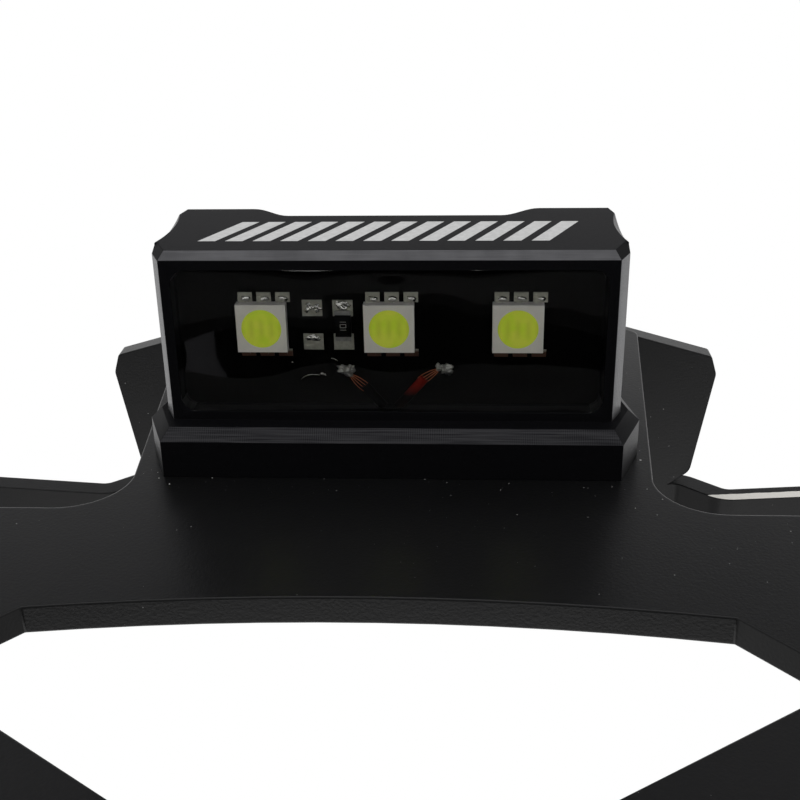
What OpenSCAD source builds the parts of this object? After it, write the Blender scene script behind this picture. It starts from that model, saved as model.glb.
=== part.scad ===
// Tail tidy: a bent-sheet bracket that bolts under a motorbike's seat subframe, with arms for the
// indicators, a hanging number plate carrier bolted to its folded tab, and a machined number plate
// lamp with three LEDs under clear resin.
// Frame: X is across the bike, Y forward, Z up. The origin is the middle of the four subframe holes,
// on the bracket's top face. The carrier faces the rear, -Y, and the lamp shines down, -Z.

/* [Main bracket] */
// Thickness of the bracket's sheet
bracket_t = 3; // [2.5:0.5:4]
// Inside radius of the bracket's bends
bend_r = 2; // [1.5:0.5:4]
// From the middle of the subframe holes back to the carrier's rear face
tab_reach = 26; // [25:1:60]
// Width of the tab that the carrier bolts to
tab_w = 48; // [44:1:52]
// Clearance between the tab's lower edge and the lamp screws' washers
tab_gap = 1.6; // [0.6:0.1:4]
// Width of the relief slots beside the tab
relief_w = 1.5; // [1:0.5:3]
// Half the width over the rear ears, at their widest
ear_x = 41.8; // [36:0.2:46]
// How far the ears' rear edges reach past the carrier's rear face, beside the neck
ear_reach = 0.5; // [0:0.1:2]
// How far the ears' outer sides draw in towards the front
ear_taper = 2.4; // [0:0.1:5]
// Sweep of the ears' rear edges, in degrees
ear_sweep = 16; // [0:1:25]
// Cut at the ears' outer corners
ear_corner = 2.4; // [1:0.1:4]
// Length of the ears' outer sides
ear_len = 17; // [10:1:24]
// From the ears' sides to the arms' rear edges
ear_notch = 2; // [1:0.1:4]
// Half the width of the front plate, where the arms' bends start
front_x = 36.8; // [35.5:0.1:38]
// From the middle of the subframe holes to the front edge
front_reach = 19.5; // [18:0.5:40]
// Cut from the arms' front edges in to the front edge's corners
front_cut = 8; // [4:1:14]
// Radius of the front edge's corners
front_r = 6; // [2:1:10]

/* [Subframe holes] */
// Distance between the subframe holes, across
sub_x = 56; // [40:1:62]
// Distance between the subframe holes, fore and aft
sub_y = 24; // [20:1:26]
// Diameter of the subframe holes
sub_d = 6.5; // [5.5:0.5:8.5]
// Width of the cable window in the front plate
cable_w = 30; // [20:1:34]
// Length of the cable window
cable_l = 16; // [10:1:20]
// Corner cut of the cable window
cable_cut = 3; // [2:0.5:4]

/* [Indicator arms] */
// How far the arms lie below the main plate
arm_drop = 5.3; // [3:0.1:9]
// Half the width over the arms' tips
arm_x = 98; // [80:1:120]
// Depth of the arms at their roots
arm_root = 21; // [18:1:23]
// Depth of the arms at their tips
arm_tip = 20; // [18:1:22]
// Sweep of the arms' rear edges, in degrees
arm_sweep = 3.5; // [0:0.5:8]
// Corner radius of the arms' tips
arm_r = 7; // [3:1:9]
// Diameter of the indicator holes
ind_d = 10.5; // [8.5:0.5:12.5]
// From the arms' tips in to the middles of the indicator holes
ind_edge = 13; // [12:1:20]
// Diameter of the indicator lead holes
lead_d = 6; // [4:1:8]
// From the indicator holes to the lead holes
lead_gap = 18; // [14:1:24]

/* [Carrier] */
// Thickness of the carrier's sheet
sheet_t = 2.7; // [2:0.1:4]
// Half the width of the neck's top
neck_top_x = 30; // [28:0.5:34]
// Half the width of the neck where it meets the bar
neck_low_x = 25.8; // [25:0.2:30]
// Corner cut at the neck's top
neck_cut = 4; // [2:1:8]
// Clearance between the neck's top and the bracket's underside
neck_gap = 0.6; // [0.3:0.1:2]
// Radius where the neck runs into the bar
neck_r = 6.5; // [3:0.5:12]
// From the lamp's window down to the bar's top edge
bar_drop = 9.3; // [6:0.1:14]
// Half the width of the bar
bar_x = 70; // [60:1:80]
// Height of the bar's ends
bar_end_h = 20; // [14:1:26]
// Corner cut at the bar's ends
bar_cut = 6; // [2:1:9]
// Half the width of the carrier's lower edge
foot_x = 14; // [8:1:24]
// From the lamp's window down to the carrier's lower edge
foot_drop = 76; // [74:1:90]
// Corner radius of the carrier's lower edge
foot_r = 5; // [2:0.5:7]

/* [Carrier window] */
// From the lamp's window down to the top of the carrier's window
window_drop = 24; // [22:0.1:30]
// Half the width of the window's arched top
window_top_x = 30; // [24:1:34]
// Rise of the arched top at its middle
window_rise = 2.2; // [1:0.1:4]
// Half the width of the window at its tips
window_tip_x = 37; // [34:1:42]
// From the arch's ends down to the tips
window_tip_drop = 7.9; // [4:0.1:10]
// Slope of the window's lower sides, in degrees
window_slope = 34.4; // [28:0.2:38]
// Radius at the foot of the window
window_foot_r = 8; // [4:1:12]

/* [Number plate slots] */
// Distance between the upper slots
slot_x = 106; // [100:1:112]
// From the lamp's window down to the upper slots
slot_drop = 20; // [17:1:22]
// Width of the slots
slot_w = 6.4; // [5:0.2:7]
// Overall length of the slots
slot_l = 16; // [10:1:18]
// From the lower slot's middle up from the carrier's lower edge
foot_slot = 8; // [7:1:9]

/* [Lamp] */
// Half the width of the lamp's window face
lamp_face_x = 22.3; // [21.5:0.1:24]
// Half the width of the lamp behind its front corners
lamp_x = 23.4; // [22.5:0.1:25.5]
// Depth of the front corners' cut
lamp_corner = 2.4; // [1:0.1:4]
// Depth of the lamp at its shoulders
lamp_depth = 15.6; // [14:0.1:20]
// Height of the lamp's block over its foot
lamp_h = 17.8; // [17:0.1:22]
// Bevel round the engraved face
lamp_bevel = 0.8; // [0.5:0.05:1.5]
// Length of the hollows along the block's upper side edges
hollow_l = 12; // [8:0.5:12.5]
// Depth of those hollows
hollow = 0.6; // [0.2:0.1:1]
// Half the width of the relief between the shoulders, at its floor
relief_x = 11.2; // [8:0.1:14]
// Width of each curved run-out of the relief
runout = 4.1; // [3:0.1:6]
// Depth of the relief between the shoulders
relief_depth = 2.7; // [1:0.1:4]
// Height of the lamp's foot
foot_h = 5.15; // [4.5:0.05:8]
// How far the foot stands in front of the window face
foot_front = 2.9; // [2:0.1:4]
// Half the width of the foot's front face
foot_face_x = 23.2; // [22:0.1:25]
// Half the width over the foot's points
foot_point_x = 25.5; // [24.5:0.1:27]
// From the window face up to the foot's points
foot_point = 3; // [1:0.1:4]
// From the foot's points up to where the foot meets the block's sides
foot_run = 5; // [3:0.1:8]
// Half the width of the foot behind its points
foot_back_x = 24.4; // [23.6:0.1:26]
// How far the foot runs past the block behind the shoulders
foot_tail = 1; // [0.5:0.1:2]
// Bevel round the foot
foot_bevel = 1.17; // [0.5:0.01:2]

/* [Lamp inside] */
// Wall round the lamp's pocket
pocket_wall = 1; // [0.8:0.1:3]
// Depth of the pocket
pocket_depth = 4; // [3.6:0.1:6]
// Radius of the pocket's corners
pocket_r = 1.5; // [1:0.1:3]
// Thickness of the circuit board
board_t = 1.6; // [1:0.1:1.8]
// Clearance round the circuit board
board_gap = 0.2; // [0.1:0.05:0.4]
// Side of an LED's square body
led_w = 5; // [4.6:0.1:5.4]
// Height of an LED's body
led_h = 1.6; // [1:0.1:1.8]
// Diameter of an LED's phosphor
phosphor_d = 4; // [3:0.1:4.2]
// Depth of an LED's phosphor cup
phosphor_t = 0.6; // [0.3:0.1:0.8]
// Distance between the LEDs
led_pitch = 12.7; // [11:0.1:14]
// Height of the LEDs over the lamp's foot
led_z = 9.75; // [9:0.05:11]
// Thickness of the tinned pads and terminals
pad_t = 0.12; // [0.08:0.02:0.2]
// Bore of the lead passage through the foot
lead_bore = 3.4; // [2.6:0.2:3.6]
// Diameter of the grommet's hole in the carrier
grommet_d = 7; // [5:0.5:8]
// Outer diameter of the leads
wire_d = 1; // [0.8:0.1:1.2]

/* [Fasteners] */
// Distance between the carrier bolts, across
bolt_x = 32; // [26:1:34]
// Clearance between the lamp's foot and the lower bolts' heads
head_room = 1.65; // [0.8:0.05:4]
// Clearance between the upper bolts' washers and the bracket's bend
bend_room = 1; // [0.5:0.1:3]
// Distance between the carrier bolts, up and down
bolt_z = 11.5; // [11:0.25:14]
// Thread diameter of the carrier bolts
bolt_d = 5; // [4:0.5:5.5]
// Length of the carrier bolts under their heads
bolt_l = 14; // [12:1:16]
// Clearance of the carrier bolt holes, on the diameter
bolt_gap = 0.5; // [0.3:0.1:1]
// Distance between the lamp screws
screw_x = 36; // [30:1:38]
// From the lamp's window up to the lamp screws
screw_up = 5.5; // [4.5:0.5:6]
// Thread diameter of the lamp screws
screw_d = 4; // [3:0.5:4]
// Length of the lamp screws under their heads
screw_l = 7; // [6:0.5:7]

/* [Hidden] */
$fn = 48;
arc_step = 7.5;
step_angle = 45;
over = 1;

black_coat = "#2a2a2c";
black_anodised = "#303034";
zinc = "#b9bcc0";

// Levels, faces and places that several pieces share
washer_r = bolt_d;
lamp_washer_r = 1.1 * screw_d;
bolt_low = lamp_depth + foot_tail + head_r(bolt_d) + head_room;
neck_h = bolt_low + bolt_z + washer_r + bend_room + bend_r - neck_gap;
tab_h = bracket_t + neck_gap + neck_h - screw_up - lamp_washer_r - tab_gap;
window_z = -(bracket_t + neck_gap + neck_h);
carrier_back = -tab_reach;
carrier_front = carrier_back - sheet_t;
foot_top = carrier_front - foot_h;
tab_front = carrier_back + bracket_t;
board_face = pocket_depth - board_t;
led_face = board_face - led_h;
window_top = lamp_h - lamp_bevel;
pocket_x = lamp_face_x - pocket_wall;
bore_up = pocket_depth - lead_bore / 2 - 0.2;
thread_gap = 0.1;
washer_t = 1;
lamp_washer_t = 0.8;
runout_steps = 8;
led_xs = [-led_pitch, 0, led_pitch];
arm_back = ear_back(ear_x) + ear_corner + ear_len;
arm_swept = (arm_x - front_x) * tan(arm_sweep);
ind_x = arm_x - ind_edge;
ind_y = arm_back - (ind_x - front_x) * tan(arm_sweep) + arm_tip / 2 + 1;
bolt_xs = [-bolt_x / 2, bolt_x / 2];
bolt_ups = [bolt_low, bolt_low + bolt_z];
screw_xs = [-screw_x / 2, screw_x / 2];
// The board's small parts: terminals, pads without an LED, resistor, solder joints and lead ends
terminal_pitch = 1.88;
terminal_reach = [0.55, 0.55];
pad_reach = [0.77, 1.02];
pad_off = 0.28;
pad_xs = [-7.65, -4.6];
pad_zs = [8.05, 11.6];
pad_w = 2;
pad_l = 1.7;
chip_w = 1.6;
chip_l = 3.2;
chip_t = 0.5;
joint_r = 0.8;
joints = [[-4.5, 5], [5.8, 5.15]];
wire_up = board_face - wire_d / 2 - 0.05;
red_from = [3.4, 4.2];
red_to = [0.7, 1];
black_from = [-2.6, 3.4];
black_to = [-0.7, 1];

// Y of the ears' rear edge at a given X
function ear_back(x) = carrier_back - ear_reach + (x - neck_top_x) * tan(ear_sweep);

// Radius of a button head on a thread of diameter d
function head_r(d) = 0.95 * d;

function unit(v) = v / norm(v);
// Half the angle between the two sides that meet at b
function half_angle(a, b, c) = acos(unit(a - b) * unit(c - b)) / 2;
function run_in(a, b, c, r) = b + unit(a - b) * r / tan(half_angle(a, b, c));
function round_centre(a, b, c, r) =
    b + unit(unit(a - b) + unit(c - b)) * r / sin(half_angle(a, b, c));
function mirrored(half) =
    concat(half, [for (i = [len(half) - 1:-1:0]) if (half[i][0] > 0) [-half[i][0], half[i][1]]]);
function mirrored_r(half, radii) =
    concat(radii, [for (i = [len(half) - 1:-1:0]) if (half[i][0] > 0) radii[i]]);

// Points along the arc that rounds the corner at b, in steps of about arc_step degrees
function corner_arc(a, b, c, r) =
    let (centre = round_centre(a, b, c, r), first = run_in(a, b, c, r) - centre,
         last = run_in(c, b, a, r) - centre, start = atan2(first[1], first[0]),
         sweep = (atan2(last[1], last[0]) - start + 540) % 360 - 180,
         steps = ceil(abs(sweep) / arc_step))
    [for (i = [0:steps]) centre + r * [cos(start + sweep * i / steps), sin(start + sweep * i / steps)]];

// A polygon, anticlockwise, with each corner rounded to its own radius
module outline(points, radii) {
    n = len(points);
    polygon([for (i = [0:n - 1])
        let (a = points[(i + n - 1) % n], b = points[i], c = points[(i + 1) % n])
        each radii[i] == 0 ? [b] : corner_arc(a, b, c, radii[i])]);
}

// Puts children drawn against the carrier, X across, Y up from the lamp's window and Z off the
// lamp's foot, in the part's frame
module at_lamp() {
    translate([0, foot_top, window_z]) rotate([90, 0, 0]) children();
}

// Turns children drawn along +Z to point forward, from a place in the part's own Y and from the
// lamp's window up
module along_y(x, y, up) {
    translate([x, y, window_z + up]) rotate([-90, 0, 0]) children();
}

// Cuts a bevel along the upper edge that runs from p to q, with the solid on its left
module edge_bevel(p, q, level, size) {
    run = q - p;
    translate([p[0], p[1], level]) rotate([0, 0, atan2(run[1], run[0])])
        translate([-over, 0, 0]) rotate([90, 0, 90]) linear_extrude(norm(run) + 2 * over)
            polygon([[-over, -size - over], [size + over, over], [-over, over]]);
}

// The flat of the bracket: rear ears, relief slots beside the tab, front plate
module bracket_flat() {
    tab_x = tab_w / 2;
    bend_start = tab_front + bend_r;
    side_start = ear_back(ear_x) + ear_corner;
    half = [[tab_x, bend_start], [tab_x, bend_start + relief_w],
            [tab_x + relief_w, bend_start + relief_w], [tab_x + relief_w, ear_back(tab_x + relief_w)],
            [ear_x - ear_corner / 3, ear_back(ear_x - ear_corner / 3)], [ear_x, side_start],
            [ear_x - ear_taper, arm_back - ear_notch], [front_x, arm_back],
            [front_x, arm_back + arm_root], [front_x - front_cut, front_reach]];
    radii = [0, 0, 0, 0, 0.6, 1.5, 2, 0, 0, front_r];
    linear_extrude(bracket_t)
        outline(mirrored(half), mirrored_r(half, radii));
}

// Cut the cable window with its corners cut, and the subframe holes
module bracket_cuts() {
    w = cable_w / 2;
    l = cable_l / 2;
    half = [[w - cable_cut, -l], [w, cable_cut - l], [w, l - cable_cut], [w - cable_cut, l]];
    linear_extrude(3 * bracket_t, center = true) {
        outline(mirrored(half), [for (i = [1:8]) 2]);
        for (x = [-sub_x, sub_x] / 2, y = [-sub_y, sub_y] / 2)
            translate([x, y]) circle(d = sub_d);
    }
}

// The tab, folded down from the rear edge: its section, drawn out to its width
module tab() {
    root = tab_front + bend_r + over;
    rotate([90, 0, 90]) linear_extrude(tab_w, center = true)
        outline([[carrier_back, -tab_h], [tab_front, -tab_h], [tab_front, -bracket_t],
                 [root, -bracket_t], [root, 0], [carrier_back, 0]],
                [0, 0, bend_r, 0, 0, bend_r + bracket_t]);
}

// An arm on the +X side: its section steps down in two bends, and is trimmed to its outline
module arm() {
    root = front_x - 2 * bracket_t;
    tip_back = arm_back - arm_swept;
    step_in = front_x + bend_r * tan(step_angle / 2);
    step_out = step_in + arm_drop / tan(step_angle);
    lead = bracket_t * tan(step_angle / 2);
    outer_r = bend_r + bracket_t;
    intersection() {
        translate([0, arm_back + arm_root + over, 0]) rotate([90, 0, 0])
            linear_extrude(arm_root + arm_swept + 3 * over)
                outline([[root, -bracket_t], [step_in, -bracket_t], [step_out, -bracket_t - arm_drop],
                         [arm_x, -bracket_t - arm_drop], [arm_x, -arm_drop],
                         [step_out + lead, -arm_drop], [step_in + lead, 0], [root, 0]],
                        [0, bend_r, outer_r, 0, 0, bend_r, outer_r, 0]);
        translate([0, 0, -arm_drop - 3 * bracket_t]) linear_extrude(arm_drop + 5 * bracket_t)
            outline([[root, arm_back], [front_x, arm_back], [arm_x, tip_back],
                     [arm_x, tip_back + arm_tip], [front_x, arm_back + arm_root],
                     [root, arm_back + arm_root]], [0, 0, arm_r, arm_r, 0, 0]);
    }
}

module main_bracket() {
    color(black_coat) difference() {
        union() {
            translate([0, 0, -bracket_t]) bracket_flat();
            tab();
            arm();
            mirror([1, 0, 0]) arm();
        }
        bracket_cuts();
        for (s = [-1, 1], hole = [[ind_x, ind_d], [ind_x - lead_gap, lead_d]])
            translate([s * hole[0], ind_y, -arm_drop - bracket_t - over])
                cylinder(h = bracket_t + 2 * over, d = hole[1]);
        for (x = bolt_xs, up = bolt_ups)
            along_y(x, carrier_back - over, up) cylinder(h = bracket_t + 2 * over, d = bolt_d + bolt_gap);
    }
}

// The carrier's outer edge, drawn about the lamp's window
module carrier_outline() {
    low = -bar_drop;
    half = [[foot_x, -foot_drop], [bar_x, low - bar_end_h], [bar_x, low - bar_cut],
            [bar_x - bar_cut, low], [neck_low_x, low],
            [neck_top_x, neck_h - neck_cut], [neck_top_x - neck_cut, neck_h]];
    radii = [foot_r, 6, 3, 3, neck_r, 1.5, 1.5];
    outline(mirrored(half), mirrored_r(half, radii));
}

// The window: arched top, pointed tips and two long sides that meet in a rounded foot
module carrier_window() {
    arch_end = -window_drop - window_rise;
    tip = arch_end - window_tip_drop;
    foot = tip - window_tip_x * tan(window_slope);
    arch_r = (window_top_x * window_top_x + window_rise * window_rise) / (2 * window_rise);
    arch = [for (i = [6:-1:0]) let (x = window_top_x * i / 6)
        [x, sqrt(arch_r * arch_r - x * x) - arch_r - window_drop]];
    half = concat([[0, foot], [window_tip_x, tip]], arch);
    radii = concat([window_foot_r, 1.5], [for (p = arch) 0]);
    outline(mirrored(half), mirrored_r(half, radii));
}

// A level slot with round ends
module slot() {
    run = slot_l - slot_w;
    square([run, slot_w], center = true);
    for (s = [-1, 1]) translate([s * run / 2, 0]) circle(d = slot_w);
}

module plate_carrier() {
    color(black_coat) translate([0, carrier_back, window_z]) rotate([90, 0, 0])
        linear_extrude(sheet_t) difference() {
            carrier_outline();
            carrier_window();
            for (s = [-1, 1]) translate([s * slot_x / 2, -slot_drop]) slot();
            translate([0, foot_slot - foot_drop]) slot();
            for (x = bolt_xs, up = bolt_ups) translate([x, up]) circle(d = bolt_d + bolt_gap);
            for (x = screw_xs) translate([x, screw_up]) circle(d = screw_d + bolt_gap);
            translate([0, bore_up]) circle(d = grommet_d);
        }
}

// Washer, nut and screw shapes, each standing on its seat along +Z
module washer(d, bore, t) {
    difference() {
        cylinder(h = t, d = d);
        translate([0, 0, -over]) cylinder(h = t + 2 * over, d = bore);
    }
}

// A self-locking nut: a hexagon with a round collar that holds the locking ring
module lock_nut(d) {
    difference() {
        union() {
            cylinder(h = 0.72 * d, d = 1.6 * d / cos(30), $fn = 6);
            cylinder(h = d, d = 1.46 * d);
        }
        translate([0, 0, -over]) cylinder(h = d + 2 * over, d = d + thread_gap);
    }
}

// A button-head screw with a hexagon socket: the head above Z = 0, the thread below
module button_screw(d, length) {
    head_h = 0.55 * d;
    r = head_r(d);
    dome_r = (r * r + head_h * head_h) / (2 * head_h);
    difference() {
        union() {
            intersection() {
                translate([0, 0, head_h - dome_r]) sphere(dome_r);
                cylinder(h = head_h, r = r - 0.1);
            }
            translate([0, 0, -length]) cylinder(h = length + 0.1, d = d);
        }
        translate([0, 0, 0.25 * head_h]) cylinder(h = head_h, d = 0.6 * d / cos(30), $fn = 6);
    }
}

module carrier_bolts() {
    color(zinc) for (x = bolt_xs, up = bolt_ups)
        translate([x, carrier_front, window_z + up]) rotate([90, 0, 0]) button_screw(bolt_d, bolt_l);
}

module carrier_washers() {
    color(zinc) for (x = bolt_xs, up = bolt_ups)
        along_y(x, tab_front, up) washer(2 * washer_r, bolt_d + bolt_gap, washer_t);
}

module carrier_nuts() {
    color(zinc) for (x = bolt_xs, up = bolt_ups)
        along_y(x, tab_front + washer_t, up) lock_nut(bolt_d);
}

module lamp_screws() {
    color(zinc) for (x = screw_xs)
        along_y(x, carrier_back + lamp_washer_t, screw_up) button_screw(screw_d, screw_l);
}

module lamp_washers() {
    color(zinc) for (x = screw_xs)
        along_y(x, carrier_back, screw_up) washer(2 * lamp_washer_r, screw_d + bolt_gap, lamp_washer_t);
}

// The rubber grommet that lines the lead hole, with its lip behind the carrier
module lead_grommet() {
    color("#1c1c1e") along_y(0, carrier_front, bore_up) difference() {
        union() {
            cylinder(h = sheet_t, d = grommet_d);
            translate([0, 0, sheet_t]) cylinder(h = 1, d = grommet_d + 3);
            translate([0, 0, sheet_t + 1]) cylinder(h = 0.8, d = grommet_d + 1.4);
        }
        translate([0, 0, -over]) cylinder(h = sheet_t + 4, d = lead_bore);
    }
}

// The lamp's block seen from its engraved face, with curved run-outs into the rear relief
module block_outline() {
    floor_y = lamp_depth - relief_depth;
    wave = [for (i = [0:runout_steps])
        [relief_x + runout * (1 - i / runout_steps),
         floor_y + relief_depth * (1 + cos(180 * i / runout_steps)) / 2]];
    half = concat([[lamp_face_x, 0], [lamp_x, lamp_corner], [lamp_x - 0.3, lamp_depth - 2.2],
                   [lamp_x - 0.8, lamp_depth]], wave);
    polygon(mirrored(half));
}

// The round cut that hollows the block's upper edge on the +X side, at 45 degrees to both faces
module side_hollow() {
    r = (hollow_l * hollow_l / 4 + hollow * hollow) / (2 * hollow);
    translate([lamp_x, (lamp_corner + lamp_depth) / 2, lamp_h]) rotate([0, -45, 0])
        translate([r - hollow, 0, -2 * hollow]) cylinder(h = 4 * hollow, r = r);
}

// The lamp's foot seen the same way: its sides come to a point past the block
module foot_outline() {
    polygon(mirrored(foot_half()));
}

function foot_half() = [[foot_face_x, -foot_front], [foot_point_x, foot_point],
    [foot_back_x, foot_point + foot_run], [foot_back_x, lamp_depth + foot_tail]];

module pocket_outline(inset) {
    x = pocket_x - inset;
    low = pocket_wall + inset;
    top = window_top - pocket_wall - inset;
    r = pocket_r - inset / 2;
    outline([[-x, low], [x, low], [x, top], [-x, top]], [r, r, r, r]);
}

// Draws children in the window's plane: X across, Y off the lamp's foot, Z into the lamp
module in_window(depth) {
    translate([0, depth, 0]) rotate([-90, 0, 0]) mirror([0, 1, 0]) children();
}

module lamp_housing() {
    front = [[-lamp_x, lamp_corner], [-lamp_face_x, 0], [lamp_face_x, 0], [lamp_x, lamp_corner]];
    foot = foot_half();
    rim = concat([for (i = [2:-1:0]) [-foot[i][0], foot[i][1]]], [for (i = [0:2]) foot[i]]);
    color(black_anodised) at_lamp() difference() {
        union() {
            difference() {
                linear_extrude(lamp_h) block_outline();
                for (i = [0:2]) edge_bevel(front[i], front[i + 1], lamp_h, lamp_bevel);
                side_hollow();
                mirror([1, 0, 0]) side_hollow();
            }
            difference() {
                translate([0, 0, -foot_h]) linear_extrude(foot_h) foot_outline();
                difference() {
                    for (i = [0:4]) edge_bevel(rim[i], rim[i + 1], 0, foot_bevel);
                    translate([0, 0, -foot_h]) linear_extrude(2 * foot_h) block_outline();
                }
            }
        }
        in_window(-over) linear_extrude(pocket_depth + over) pocket_outline(0);
        translate([0, bore_up, -foot_h - over])
            cylinder(h = foot_h + pocket_wall + 2 * over, d = lead_bore);
        for (x = screw_xs) translate([x, screw_up, -foot_h - over])
            cylinder(h = over + screw_l - lamp_washer_t - sheet_t + 1, d = screw_d + thread_gap);
    }
}

module lamp_board() {
    color("#101312") at_lamp() in_window(board_face)
        linear_extrude(board_t) pocket_outline(board_gap);
}

// An LED's square body
module led_outline() {
    square(led_w, center = true);
}

module led(x) {
    color("#c9c6c0") at_lamp() in_window(led_face) translate([x, led_z]) difference() {
        linear_extrude(led_h) led_outline();
        translate([0, 0, -over]) cylinder(h = phosphor_t + over, d = phosphor_d);
    }
}

module led_left() { led(led_xs[0]); }
module led_centre() { led(led_xs[1]); }
module led_right() { led(led_xs[2]); }

module led_phosphor() {
    color("#b5c42e") at_lamp() for (x = led_xs)
        in_window(led_face) translate([x, led_z]) cylinder(h = phosphor_t, d = phosphor_d);
}

// Rows of three along an LED's lower and upper sides, each drawn from the body outwards
module led_rows(reach, w, t, lift, off) {
    for (x = led_xs, i = [-1, 0, 1], s = [0, 1])
        in_window(board_face - lift - t)
            translate([x + off + i * terminal_pitch - w / 2,
                       led_z + (s > 0 ? led_w / 2 : -led_w / 2 - reach[s])])
                cube([w, reach[s], t]);
}

module led_terminals() {
    color("#a9a9a4") at_lamp() led_rows(terminal_reach, 0.86, 0.2, pad_t, 0);
}

module solder_pads() {
    color("#8f8f84") at_lamp() {
        led_rows(pad_reach, 1.42, pad_t, 0, pad_off);
        for (x = pad_xs, z = pad_zs)
            in_window(board_face - pad_t) translate([x - pad_w / 2, z - pad_l / 2])
                cube([pad_w, pad_l, pad_t]);
    }
}

// The surface resistor that limits the LEDs' current, on the right column of pads
module chip_resistor() {
    color("#16181a") at_lamp() in_window(board_face - pad_t - chip_t)
        translate([pad_xs[1] - chip_w / 2, (pad_zs[0] + pad_zs[1] - chip_l) / 2])
            cube([chip_w, chip_l, chip_t]);
}

module solder_joints() {
    color("#b0b0ac") at_lamp() for (p = joints) intersection() {
        translate([p[0], board_face, p[1]]) sphere(joint_r);
        translate([p[0] - 2, board_face - 2, p[1] - 2]) cube([4, 2, 4]);
    }
}

// A lead's insulated end, from beside its solder joint into the passage through the foot
module lead_end(from, to) {
    run = to - from;
    at_lamp() translate([from[0], wire_up, from[1]]) rotate([0, atan2(run[0], run[1]), 0])
        cylinder(h = norm(run), d = wire_d);
}

module red_lead_end() { color("#8a1408") lead_end(red_from, red_to); }
module black_lead_end() { color("#151516") lead_end(black_from, black_to); }

// The clear resin that fills the pocket round everything on the board
module lamp_resin() {
    color([0.8, 0.85, 0.85, 0.35]) at_lamp() difference() {
        in_window(0) linear_extrude(pocket_depth) pocket_outline(0);
        in_window(board_face) linear_extrude(board_t + over) pocket_outline(board_gap);
        for (x = led_xs) in_window(led_face) translate([x, led_z]) linear_extrude(led_h) led_outline();
        led_rows(terminal_reach, 0.86, 0.2, pad_t, 0);
        led_rows(pad_reach, 1.42, pad_t, 0, pad_off);
        for (x = pad_xs, z = pad_zs)
            in_window(board_face - pad_t) translate([x - pad_w / 2, z - pad_l / 2])
                cube([pad_w, pad_l, pad_t]);
        in_window(board_face - pad_t - chip_t)
            translate([pad_xs[1] - chip_w / 2, (pad_zs[0] + pad_zs[1] - chip_l) / 2])
                cube([chip_w, chip_l, chip_t]);
        for (p = joints) translate([p[0], board_face, p[1]]) sphere(joint_r);
        for (ends = [[red_from, red_to], [black_from, black_to]]) {
            run = ends[1] - ends[0];
            translate([ends[0][0], wire_up, ends[0][1]]) rotate([0, atan2(run[0], run[1]), 0])
                cylinder(h = norm(run), d = wire_d);
        }
    }
}

main_bracket();
plate_carrier();
carrier_bolts();
carrier_washers();
carrier_nuts();
lamp_housing();
lamp_screws();
lamp_washers();
lead_grommet();
lamp_board();
led_left();
led_centre();
led_right();
led_phosphor();
led_terminals();
solder_pads();
chip_resistor();
solder_joints();
red_lead_end();
black_lead_end();
lamp_resin();
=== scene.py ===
import math

import bmesh
import bpy
from mathutils import Matrix, Vector, noise


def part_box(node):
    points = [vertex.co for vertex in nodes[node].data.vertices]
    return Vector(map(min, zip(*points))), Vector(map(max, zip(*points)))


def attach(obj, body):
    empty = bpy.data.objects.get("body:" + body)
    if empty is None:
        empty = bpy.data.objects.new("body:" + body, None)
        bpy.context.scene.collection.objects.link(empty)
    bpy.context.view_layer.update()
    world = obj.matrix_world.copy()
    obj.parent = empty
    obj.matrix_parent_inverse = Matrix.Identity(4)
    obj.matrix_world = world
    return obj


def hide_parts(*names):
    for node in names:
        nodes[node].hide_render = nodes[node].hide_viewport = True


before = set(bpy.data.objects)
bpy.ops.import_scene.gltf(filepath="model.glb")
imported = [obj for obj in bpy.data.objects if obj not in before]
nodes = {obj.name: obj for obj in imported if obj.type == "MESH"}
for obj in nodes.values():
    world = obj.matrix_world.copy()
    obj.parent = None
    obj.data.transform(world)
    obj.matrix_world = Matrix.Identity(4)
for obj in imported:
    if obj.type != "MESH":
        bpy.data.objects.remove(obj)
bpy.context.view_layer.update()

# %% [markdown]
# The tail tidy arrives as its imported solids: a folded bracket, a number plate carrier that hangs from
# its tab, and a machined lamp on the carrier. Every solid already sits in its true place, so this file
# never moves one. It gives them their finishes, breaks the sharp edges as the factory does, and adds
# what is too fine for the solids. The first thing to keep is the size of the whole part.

# %% [markdown]
# Blender works in metres and the drawing of this part is in millimetres, so one factor turns the one
# into the other. Sizes below are written in millimetres times this factor, and the scale of a pattern
# is one over the size that the pattern has on the real surface.

# %% Millimetres
MM = 0.001


def mm(*values):
    """A point or size given in millimetres, as a vector in metres."""
    return Vector(values) * MM


def per(size_mm):
    """The texture scale that makes a pattern repeat about once in that many millimetres."""
    return 1 / (size_mm * MM)


print("ten millimetres are", 10 * MM, "m, and a pattern of that size has the scale", per(10))

# %% [markdown]
# The lamp is the part's own landmark, so its planes are read from the solids: the window looks down, the
# engraved face looks to the rear, and the foot lies on the carrier. Most of what goes on the lamp is placed
# from these planes, and stays right if the lamp moves.

# %% Where the lamp is
FOOT_FRONT = 2.9 * MM
FOOT_H = 5.15 * MM
lamp_low, lamp_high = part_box("lamp_housing")
board_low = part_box("lamp_board")[0]
led_low, led_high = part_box("led_centre")
window_z = lamp_low.z + FOOT_FRONT
engraved_y = lamp_low.y
foot_y = lamp_high.y - FOOT_H
led_y = (led_low.y + led_high.y) / 2
led_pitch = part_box("led_right")[0].x - led_low.x
print("window at z", round(window_z / MM, 2), "mm, engraved face at y", round(engraved_y / MM, 2), "mm")

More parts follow.
